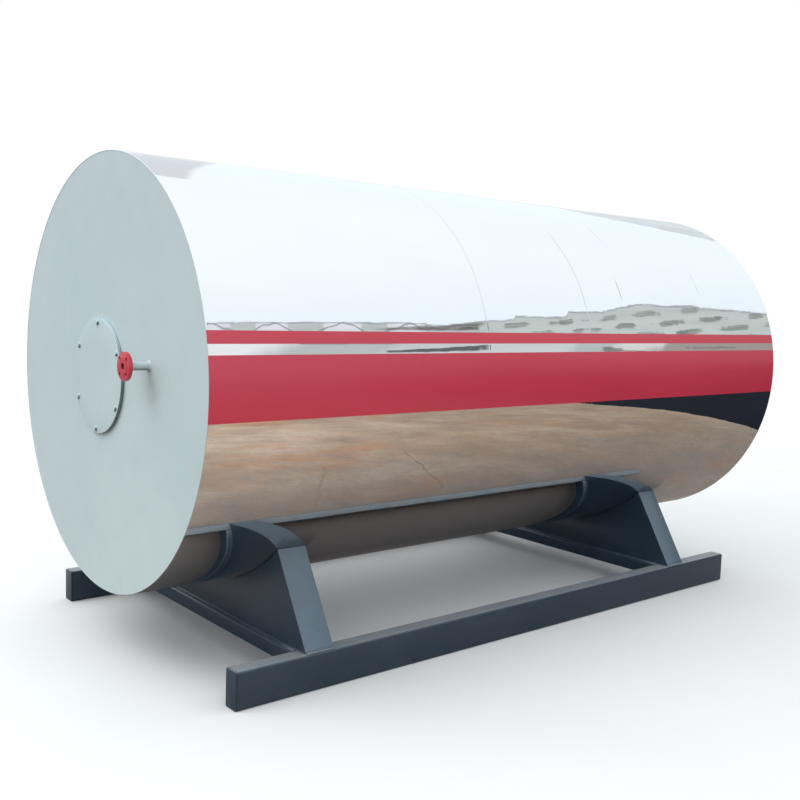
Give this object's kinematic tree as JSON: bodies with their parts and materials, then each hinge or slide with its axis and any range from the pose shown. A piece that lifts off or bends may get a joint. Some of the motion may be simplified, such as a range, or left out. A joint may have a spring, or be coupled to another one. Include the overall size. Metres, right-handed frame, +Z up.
{
  "type": "industrial shell boiler on a skid",
  "caption": "Horizontal cylindrical boiler in mirror-polished casing with red side stripes, flat painted ends, bolted round covers and a small flanged stub, on saddles and a welded skid.",
  "frame": {"origin": "on the ground, under the middle of the whole machine's box", "axes": "+Z up; the boiler's axis lies along Y, the front end plate with the flanged stub faces -Y, and +X is the stub's side"},
  "size_m": [1.8998, 3.954, 2.1999],
  "materials": {
    "polished_sheet": "mirror-polished stainless sheet, slightly wavy",
    "drum_steel": "plain rolled steel under the casing",
    "end_paint": "pale grey-green machinery paint, semi-gloss",
    "gasket": "flat jointing sheet",
    "bolt_steel": "steel painted over with the end plate",
    "red_paint": "gloss red enamel",
    "stripe_red": "glossy red film on the casing",
    "skid_paint": "dark blue-grey structural paint, semi-gloss"
  },
  "bodies": {
    "root": {"cladding_front": "polished_sheet", "cladding_middle": "polished_sheet", "cladding_rear": "polished_sheet", "casing_drum": "drum_steel", "front_end_plate": "end_paint", "rear_end_plate": "end_paint", "front_cover_plate": "end_paint", "front_cover_gasket": "gasket", "front_cover_bolts": "bolt_steel", "rear_cover_plate": "end_paint", "rear_cover_gasket": "gasket", "rear_cover_bolts": "bolt_steel", "stub_pipe": "end_paint", "stub_flange": "red_paint", "front_saddle_front_web": "skid_paint", "front_saddle_rear_web": "skid_paint", "front_saddle_right_plate": "skid_paint", "front_saddle_left_plate": "skid_paint", "rear_saddle_front_web": "skid_paint", "rear_saddle_rear_web": "skid_paint", "rear_saddle_right_plate": "skid_paint", "rear_saddle_left_plate": "skid_paint", "front_crossbeam": "skid_paint", "rear_crossbeam": "skid_paint", "right_skid_beam": "skid_paint", "left_skid_beam": "skid_paint", "right_beam_front_cap": "skid_paint", "right_beam_rear_cap": "skid_paint", "left_beam_front_cap": "skid_paint", "left_beam_rear_cap": "skid_paint"}
  },
  "joints": []
}
